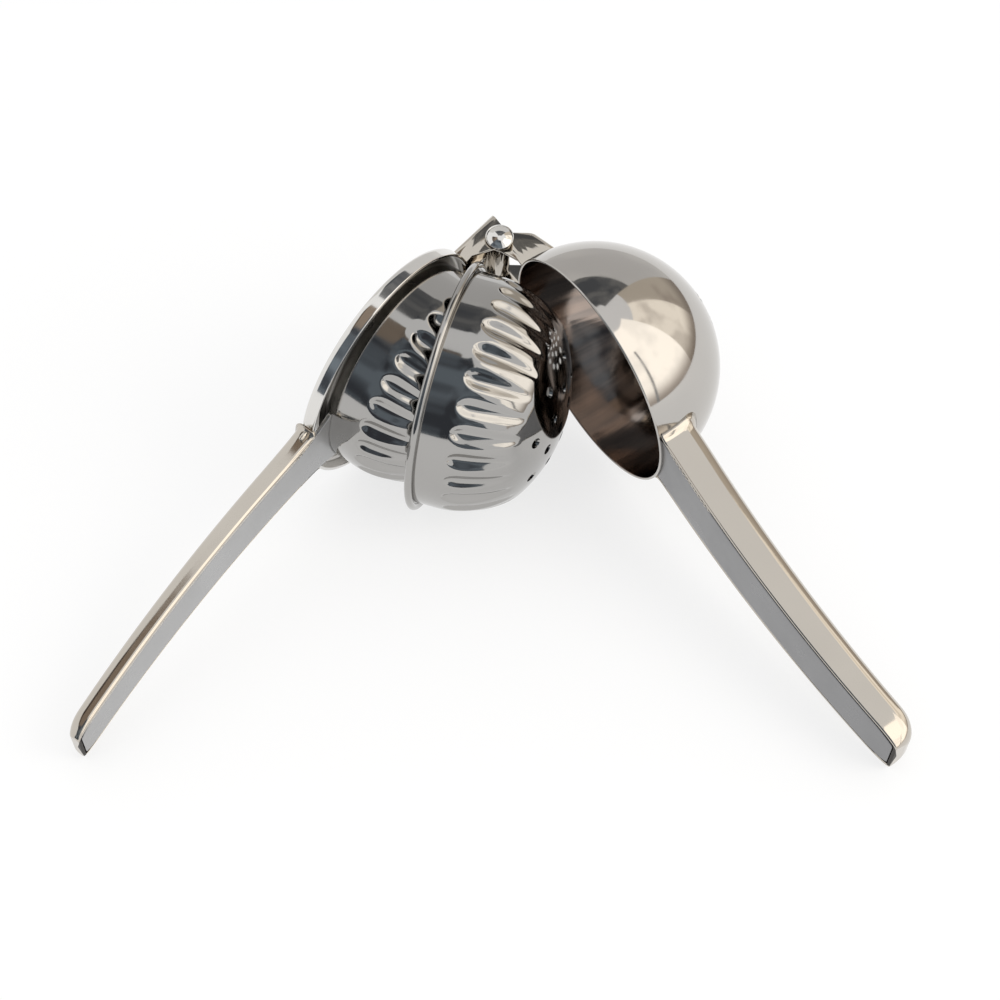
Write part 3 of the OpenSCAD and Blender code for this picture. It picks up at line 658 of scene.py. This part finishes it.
class SQUEEZER_OT_handles(bpy.types.Operator):
    """Boxed handles: a bent channel and the strip that closes it, on both arms"""

    bl_idname = "squeezer.handles"
    bl_label = "Handles"

    def execute(self, context):
        s, h = context.scene.squeezer_bowls, context.scene.squeezer_handles
        o = context.scene.squeezer_opening
        cup_r, bowl, press = s.wall_r - s.cup_in, grip_of("bowl", h), grip_of("press", h)
        channel = polished_steel("handle_steel", "channel")
        # Painted shade: the bowl strip's darker colour stands in for the shade it mirrors.
        strips = dict(bowl=satin_steel("strip_steel", "strip"),
                      press=satin_steel("press_strip_steel", "press_strip"))
        # Painted shade: the rebate under each strip, seen through the seam, is near-black for the
        # seam's shadow.
        seam_shade = seam_shade_steel("groove_steel", (0.05, 0.045, 0.04))

        def from_bowl(pole, height):
            drop = np.maximum(pole - s.bowl_straight, 0)
            return s.reach + np.sqrt(s.bowl_r ** 2 - height ** 2 - drop ** 2)

        def from_ring(pole, height):
            return s.ring_y + np.sqrt(s.ring_r ** 2 - height ** 2)

        def from_cup(pole, height):
            return s.reach + np.sqrt(cup_r ** 2 - height ** 2)

        for kind, g, body, start_at, strip_at, strip_from, turn in (
            ("bowl", bowl, "bowl_arm", from_bowl, from_bowl, 0, o.bowl),
            ("press", press, "press_arm", from_ring, from_cup,
             s.reach + cup_r - press["root"], o.press),
        ):
            x, section = channel_rows(g, h)
            grid = capped(run_along(g, x, section, start_at, SHELL_FADE))
            shell = solid(kind + "_handle_channel", grid, turn, channel)
            columns = section.shape[1]
            # The rebate's faces take the painted seam shade.
            second_finish(shell, seam_shade, lambda face: face % columns > columns - REBATE_COLUMNS)
            finished(shell, body, "handle_steel", kind + "_handle_shell")
            x, section = strip_rows(g, h, strip_from)
            grid = capped(run_along(g, x, section, strip_at, STRIP_FADE))
            bar = solid(kind + "_handle_face", grid, turn, strips[kind])
            finished(bar, body, "strip_steel", kind + "_handle_strip")
            x = np.linspace(1.5, g["weld"][0], 110) * MM
            seam = np.stack([face_rise(g, x) + g["side"] * SEAM_DEEP, -g["root"] - x,
                             grip_half(g, h, x) - h.sheet - PLAY], 1)
            bead = weld_bead(kind + "_seam_weld", seam, turn, WELD_R, channel, g["weld"][1])
            finished(bead, body, "handle_steel")
        x = np.linspace(-0.6, 2.6, 24) * MM
        bump = np.stack([-4 * MM + 0 * x, -press["root"] - x,
                         (press["high"][0] + press["flare"] * 0.3) / 2 + 0 * x], 1)
        bead = weld_bead("press_root_weld", bump, o.press, ROOT_WELD_R, channel, 1.5)
        finished(bead, "press_arm", "handle_steel")
        return {"FINISHED"}


# ---- ring and hinge ----


def softened(node_name, name, width):
    """A copy of a node's solid, its facets joined and its sharp edges rounded by a bevel."""
    piece = added(name, frame["nodes"][node_name].data.copy())
    bm = bmesh.new()
    bm.from_mesh(piece.data)
    bmesh.ops.remove_doubles(bm, verts=bm.verts, dist=2e-6)
    bmesh.ops.dissolve_limit(bm, angle_limit=math.radians(1), verts=bm.verts, edges=bm.edges)
    bm.to_mesh(piece.data)
    bm.free()
    for p in piece.data.polygons:
        p.use_smooth = True
    bevel = piece.modifiers.new("soft edges", "BEVEL")
    bevel.width, bevel.segments, bevel.limit_method = width, 2, "ANGLE"
    bevel.angle_limit = math.radians(40)
    bevel.harden_normals = True
    return piece


def press_ring(s, turn, material, inside):
    """The ring's channel, turned about its own axis: front edge, outer wall, bend, back and
    inner edge, and the same again inside. The notch for the strainer's loop is cut out."""
    r, t, b, e = s.ring_r, s.ring_sheet, s.ring_bend, 0.25 * MM
    front, back, inner = -s.ring_front, -s.ring_back, s.wall_r - s.cup_in + 0.03 * MM
    profile = np.concatenate([
        arc((r - e, front - e), e, 90, 0, 4),
        line((r, front - e), (r, back + b), 4),
        arc((r - b, back + b), b, 0, -90, 14),
        line((r - b, back), (inner, back), 3),
        [(inner, back), (inner, back + t)],
        line((inner, back + t), (r - b, back + t), 3),
        arc((r - b, back + b), b - t, -90, 0, 8),
        line((r - t, back + b), (r - t, front - e), 4),
        arc((r - t + e, front - e), e, 180, 90, 4)])
    ring = solid("press_ring_skin", turned(profile, s.ring_y, COLUMNS), turn, material, True)
    first, last = RING_INSIDE
    second_finish(ring, inside, lambda face: (face // COLUMNS >= first) & (face // COLUMNS <= last))
    near, far, z = -s.ring_y / 2, 20 * MM, s.notch_half
    corners = ((near, -z), (near, z), (far, z), (far, -z))
    block = np.array([[[x, *corner] for corner in corners] for x in (-s.notch_floor, far)])
    return cut_away(ring, [solid("notch", block, turn, None)])


def rivet(s, turn, material):
    """The rivet's skin, turned about its own axis: a domed head with a rounded rim at both
    ends of a plain shank, point = (radius cos a, radius sin a, height)."""
    head, seat, rim = s.head_d / 2, s.head_seat, 0.35 * MM
    dome = (head ** 2 + s.head_h ** 2) / (2 * s.head_h)
    centre = seat + s.head_h - dome
    edge = math.degrees(math.asin((head - rim * 0.6) / dome))
    upper = np.concatenate([
        arc((0, centre), dome, 89.6, 90 - edge, 22),
        arc((head - rim, seat + rim), rim, 40, -90, 8),
        line((head - rim, seat), (s.pin_d / 2, seat), 3),
        [(s.pin_d / 2, seat - 0.05 * MM)]])
    profile = np.concatenate([upper, (upper * [1, -1])[::-1]])
    a = np.linspace(0, 2 * np.pi, 96, endpoint=False)
    r, h = profile[:, :1], profile[:, 1:]
    grid = np.stack([r * np.cos(a), r * np.sin(a), h + 0 * a], 2)
    return solid("rivet_skin", grid, turn, material)


class SQUEEZER_OT_hinge(bpy.types.Operator):
    """Ring, folded brackets, rolled loop and rivet"""

    bl_idname = "squeezer.hinge"
    bl_label = "Hinge and ring"

    def execute(self, context):
        s, o = context.scene.squeezer_bowls, context.scene.squeezer_opening
        ring = press_ring(s, o.press, polished_steel("ring_steel", "fitting"),
                          satin_steel("ring_inside", "fitting"))
        finished(ring, "press_arm", "handle_steel", "press_ring")
        for node_name, body in (("bowl_hinge_bracket", "bowl_arm"),
                                ("press_hinge_bracket", "press_arm"),
                                ("strainer_hinge_loop", "strainer")):
            piece = softened(node_name, node_name + "_skin", 0.18 * MM)
            piece.data.materials.clear()
            piece.data.materials.append(polished_steel("bracket_steel", "channel"))
            finished(piece, body, "bracket_steel", node_name)
        pin = rivet(context.scene.squeezer_hinge, o.bowl,
                    polished_steel("rivet_steel", "fitting"))
        finished(pin, "bowl_arm", "rivet_steel", "hinge_pin")
        return {"FINISHED"}


# ---- finishes ----


def emptied(owner):
    """The node tree of a material or a world, with nothing in it."""
    owner.use_nodes = True
    owner.node_tree.nodes.clear()
    return owner.node_tree


def node(tree, kind, *first, settings=None, **named):
    """A shader node. Its first inputs and its named ones, with _ for a space, each get a value,
    another node's output, or another node, which stands for that node's first output."""
    made = tree.nodes.new("ShaderNode" + kind)
    for name, value in (settings or {}).items():
        setattr(made, name, value)
    given = list(zip(made.inputs, first))
    given += [(made.inputs[name.replace("_", " ")], value) for name, value in named.items()]
    for socket, value in given:
        if isinstance(value, bpy.types.Node):
            value = value.outputs[0]
        if isinstance(value, bpy.types.NodeSocket):
            tree.links.new(value, socket)
        else:
            socket.default_value = value
    return made


def math_node(tree, operation, a, b):
    """An operation on two values."""
    return node(tree, "Math", a, b, settings={"operation": operation})


def noise(tree, scale, detail):
    """A noise texture on Object coordinates."""
    where = node(tree, "TexCoord").outputs["Object"]
    return node(tree, "TexNoise", where, Scale=scale, Detail=detail)


def ranged(tree, source, low, high):
    """The middle range of a noise spread between two values."""
    return node(tree, "MapRange", source, From_Min=0.3, From_Max=0.7, To_Min=low, To_Max=high)


def blend(tree, factor, a, b):
    """Two colours, or a colour and an output, mixed by a factor."""
    a, b = ((*paint, 1) if isinstance(paint, tuple) else paint for paint in (a, b))
    mix = node(tree, "Mix", settings={"data_type": "RGBA"}, Factor=factor, A=a, B=b)
    return mix.outputs["Result"]


def own_material(name):
    """A material of the squeezer's own and its empty tree, or no tree if it was made before.
    The prefix keeps it apart from the plain materials that come with the CAD bodies."""
    name = "squeezer_" + name
    material = bpy.data.materials.get(name)
    if material:
        return material, None
    material = bpy.data.materials.new(name)
    return material, emptied(material)


def metal(tree, **inputs):
    """Ends a tree in a metal shader with these inputs."""
    node(tree, "OutputMaterial", node(tree, "BsdfPrincipled", Metallic=1, **inputs))


def sheet_steel(name, base, tint, sheen, bump):
    """Sheet steel. tint: darkest and lightest share of the base colour, and the noise's scale.
    sheen: lowest and highest roughness, and the noise's scale and detail. bump: strength and
    distance, and the noise's scale and detail."""
    material, tree = own_material(name)
    if tree is not None:
        low, high, scale = tint
        colours = blend(tree, noise(tree, scale, 3), tuple(c * low for c in base),
                        tuple(min(1, c * high) for c in base))
        metal(tree, Base_Color=colours, Roughness=ranged(tree, noise(tree, *sheen[2:]), *sheen[:2]),
              Normal=node(tree, "Bump", Strength=bump[0], Distance=bump[1],
                          Height=noise(tree, *bump[2:])))
    return material


def polished_steel(name, which):
    """Polished sheet: a slow wobble from forming and buffing, and a haze that comes and goes."""
    finish = bpy.context.scene.squeezer_finish
    return sheet_steel(name, getattr(finish, which), (0.93, 1.05, 40),
                       (finish.polish * 0.7, finish.polish * 1.5, 160, 4), (0.06, 0.001, 55, 1))


def satin_steel(name, which):
    """Satin sheet: a soft and even sheen with a fine grain."""
    finish = bpy.context.scene.squeezer_finish
    return sheet_steel(name, getattr(finish, which), (0.94, 1.04, 60),
                       (finish.satin * 0.85, finish.satin * 1.15, 70, 2), (0.05, 0.0004, 160, 2))


def shade_and_reflection_steel(name, turn, reach):
    """Painted shade and painted reflection: the inside of a drawn bowl as dark steel that runs into
    warm brown streaks, which stand in for the dim room it mirrors.
    The streaks are noise on the direction round the pole, so they run from mouth to pole; they also
    vary its roughness and bump like drawing marks."""
    material, tree = own_material(name)
    if tree is None:
        return material
    settle = Matrix(rivet_frame().tolist()).to_4x4()
    pole = Matrix.Translation(RIVET["pos_m"]) @ settle @ Matrix.Rotation(turn, 4, "Z")
    back = (pole @ Matrix.Translation((0, -reach, 0))).inverted()
    where, across = node(tree, "TexCoord").outputs["Object"], []
    for row in back[1:3]:
        dot = node(tree, "VectorMath", where, row[:3], settings={"operation": "DOT_PRODUCT"})
        across.append(math_node(tree, "ADD", dot.outputs["Value"], row[3]))
    around = node(tree, "VectorMath", node(tree, "CombineXYZ", *across),
                  settings={"operation": "NORMALIZE"})
    streak = node(tree, "TexNoise", around, Scale=9, Detail=5)
    both = math_node(tree, "MULTIPLY", ranged(tree, streak, 0, 1),
                     ranged(tree, noise(tree, 34, 2), 0.1, 1))
    # Painted shade and painted reflection: dark steel blended into warm brown by the streaks.
    metal(tree, Base_Color=blend(tree, both, (0.25, 0.225, 0.21), (0.72, 0.56, 0.46)),
          Roughness=ranged(tree, streak, 0.06, 0.2),
          Normal=node(tree, "Bump", Strength=0.12, Distance=0.0006, Height=streak))
    return material


def seam_shade_steel(name, base):
    """Painted shade: near-black steel at the bottom of a seam, which stands in for the shadow
    there.
    """
    material, tree = own_material(name)
    if tree is not None:
        metal(tree, Base_Color=(*base, 1), Roughness=0.5)
    return material


# ---- table, lights and camera ----

SCREEN_WIDE, SCREEN_TALL = 24, 16  # faces of a screen
FOOT = math.radians(16)  # height up to which a screen's foot fades
TABLE_GREY = 0.93
TABLE_GLOW = 0.72  # share of plain white in the table, as the camera and the steel see it
CAMERA_DOWN, CAMERA_ROLL = math.radians(63.8), math.radians(-0.9)
CAMERA_LENS = 91.5
RIVET_IN_VIEW = (-0.0002, 0.0717, -0.75)  # the rivet from the camera: right, up and back

# name, west, east, low, high, colour, other colour, scale of the patches, foot, distance
SCREENS = (
    ("dark_cloth", -64, 22, -9, 78, (0.06, 0.066, 0.078), (0.2, 0.235, 0.27), 1.6),
    ("warm_patch", -22, 2, 26, 44, (0.6, 0.27, 0.18), (0.08, 0.06, 0.06), 7),
    ("dark_ceiling", -115, -30, 55, 80, (0.085, 0.068, 0.058), (0.3, 0.24, 0.19), 3),
    ("window", 44, 98, -4, 70, (2.05, 1.93, 1.76), (1.8, 1.7, 1.56), 2, (0.55, 0.48, 0.42)),
    ("window_post", 55, 57.5, -9, 48, (0.3, 0.3, 0.3), (0.5, 0.5, 0.5), 2, None, 1.45),
    ("pale_wall", 98, 128, -4, 60, (1.45, 1.34, 1.18), (1.05, 0.96, 0.84), 2.4,
     (0.36, 0.3, 0.25)),
    ("brown_wall", 128, 148, -4, 60, (0.66, 0.59, 0.5), (0.5, 0.43, 0.37), 2, (0.34, 0.29, 0.25)),
    ("dark_back", 148, 205, 46, 76, (0.1, 0.105, 0.115), (0.2, 0.2, 0.2), 3),
    ("pale_back", 148, 218, -8, 46, (0.78, 0.77, 0.75), (0.7, 0.69, 0.68), 1),
)


def stage_sheet(name, points, faces, material):
    """A plain sheet with a material."""
    mesh = bpy.data.meshes.new(name)
    mesh.from_pydata(points, [], faces)
    mesh.materials.append(material)
    return added(name, mesh)


def screen(name, west, east, low, high, rgb, other, grain, base=None, away=1.5):
    """A curved screen round the table that only the polished steel sees: a patch of a sphere,
    point = away (cos h sin a, -cos h cos a, sin h), with a from west to east and h from low
    to high in degrees. Its two colours run into each other in slow patches. With a base colour
    its foot is of that colour and fades into the patches."""
    a = np.radians(np.linspace(west, east, SCREEN_WIDE + 1))[None, :]
    h = np.radians(np.linspace(low, high, SCREEN_TALL + 1))[:, None]
    points = away * np.stack([np.cos(h) * np.sin(a), -np.cos(h) * np.cos(a), np.sin(h) + 0 * a], 2)
    i, j = np.meshgrid(np.arange(SCREEN_TALL), np.arange(SCREEN_WIDE), indexing="ij")
    k = (i * (SCREEN_WIDE + 1) + j).ravel()
    faces = np.stack([k, k + SCREEN_WIDE + 1, k + SCREEN_WIDE + 2, k + 1], 1)
    material = bpy.data.materials.new(name)
    tree = emptied(material)
    spread = node(tree, "MapRange", noise(tree, grain, 2), From_Min=0.45, From_Max=0.6)
    shown = blend(tree, spread, rgb, other)
    if base:
        height = node(tree, "SeparateXYZ", node(tree, "TexCoord").outputs["Object"]).outputs["Z"]
        fade = node(tree, "MapRange", height, From_Min=0, From_Max=away * math.sin(FOOT),
                    settings={"interpolation_type": "SMOOTHSTEP"})
        shown = blend(tree, fade, base, shown)
    node(tree, "OutputMaterial", node(tree, "Emission", shown))
    board = stage_sheet(name, points.reshape(-1, 3).tolist(), faces.tolist(), material)
    board.visible_camera = board.visible_diffuse = board.visible_shadow = False


def white_table():
    """A pale table that glows to the camera and to the steel, so that both see it white."""
    material = bpy.data.materials.new("white_table")
    tree = emptied(material)
    rays = node(tree, "LightPath").outputs
    seen = rays["Is Camera Ray"]
    for ray in ("Is Glossy Ray", "Is Transmission Ray"):
        seen = math_node(tree, "MAXIMUM", seen, rays[ray])
    matt = node(tree, "BsdfDiffuse", (TABLE_GREY, TABLE_GREY, TABLE_GREY, 1))
    share = math_node(tree, "MULTIPLY", seen, TABLE_GLOW)
    mixed = node(tree, "MixShader", share, matt, node(tree, "Emission"))
    node(tree, "OutputMaterial", mixed)
    table = stage_sheet("table", [(-4, -4, 0), (4, -4, 0), (4, 4, 0), (-4, 4, 0)],
                        [(0, 1, 2, 3)], material)


def white_room(scene):
    """Plain white light from all round."""
    scene.world = bpy.data.worlds.new("white_room")
    tree = emptied(scene.world)
    node(tree, "OutputWorld", node(tree, "Background", (1, 1, 1, 1)))


def key_lamp():
    """A large and slightly warm lamp, aimed at the bowls, that the steel doesn't mirror."""
    place, aim = Vector((0.9, -0.35, 0.75)), Vector((0, 0, 0.03))
    data = bpy.data.lights.new("key_lamp", "AREA")
    data.shape, data.size, data.energy, data.color = "DISK", 0.7, 4, (1, 0.95, 0.88)
    light = added("key_lamp", data)
    light.location = place
    light.rotation_mode = "QUATERNION"
    light.rotation_quaternion = (aim - place).to_track_quat("-Z", "Y")
    light.visible_glossy = False


def set_camera(scene):
    """The camera: the rows of axes are its right, up and back in the squeezer's level frame."""
    c, s = math.cos(CAMERA_DOWN), math.sin(CAMERA_DOWN)
    axes = about_z(CAMERA_ROLL) @ np.array([[1, 0, 0], [0, s, c], [0, -c, s]])
    settle = rivet_frame()
    place = np.array(RIVET["pos_m"]) + settle @ (-axes.T @ np.array(RIVET_IN_VIEW))
    data = bpy.data.cameras.new("camera")
    data.lens, data.sensor_width = CAMERA_LENS, 36
    data.clip_start, data.clip_end = 0.05, 20
    camera = added("camera", data)
    world_axes = Matrix((settle @ axes.T).tolist()).to_4x4()
    world_axes.translation = Vector(place.tolist())
    camera.matrix_world = world_axes
    scene.camera = camera


class SQUEEZER_OT_stage(bpy.types.Operator):
    """Pale table, soft lights, screens for the steel to mirror, and the camera"""

    bl_idname = "squeezer.stage"
    bl_label = "Table, lights and camera"

    def execute(self, context):
        scene = context.scene
        white_table()
        white_room(scene)
        key_lamp()
        for row in SCREENS:
            screen(*row)
        set_camera(scene)
        scene.view_settings.view_transform = "Standard"
        return {"FINISHED"}


class SQUEEZER_PT_panel(bpy.types.Panel):
    """Panel that lists the squeezer's pieces"""

    bl_label = "Lemon squeezer"
    bl_idname = "SQUEEZER_PT_panel"
    bl_space_type = "VIEW_3D"
    bl_region_type = "UI"
    bl_category = "Squeezer"

    def draw(self, context):
        for operator in OPERATORS:
            self.layout.operator(operator.bl_idname)
        for group, _ in GROUPS:
            values = getattr(context.scene, group)
            for name in values.bl_rna.properties.keys():
                if name not in ("rna_type", "name"):
                    self.layout.prop(values, name)


GROUPS = (("squeezer_opening", SqueezerOpening), ("squeezer_bowls", SqueezerBowls),
          ("squeezer_handles", SqueezerHandles), ("squeezer_hinge", SqueezerHinge),
          ("squeezer_finish", SqueezerFinish))
OPERATORS = (SQUEEZER_OT_juice_bowl, SQUEEZER_OT_strainer, SQUEEZER_OT_press_cup,
             SQUEEZER_OT_handles, SQUEEZER_OT_hinge, SQUEEZER_OT_stage)


def register():
    for name, group in GROUPS:
        bpy.utils.register_class(group)
        setattr(bpy.types.Scene, name, PointerProperty(type=group))
    for operator in OPERATORS:
        bpy.utils.register_class(operator)
    bpy.utils.register_class(SQUEEZER_PT_panel)


def unregister():
    bpy.utils.unregister_class(SQUEEZER_PT_panel)
    for operator in reversed(OPERATORS):
        bpy.utils.unregister_class(operator)
    for name, group in reversed(GROUPS):
        delattr(bpy.types.Scene, name)
        bpy.utils.unregister_class(group)


def main():
    register()
    for operator in OPERATORS:
        group, name = operator.bl_idname.split(".")
        getattr(getattr(bpy.ops, group), name)()
    bpy.context.view_layer.update()


if __name__ == "__main__":
    main()
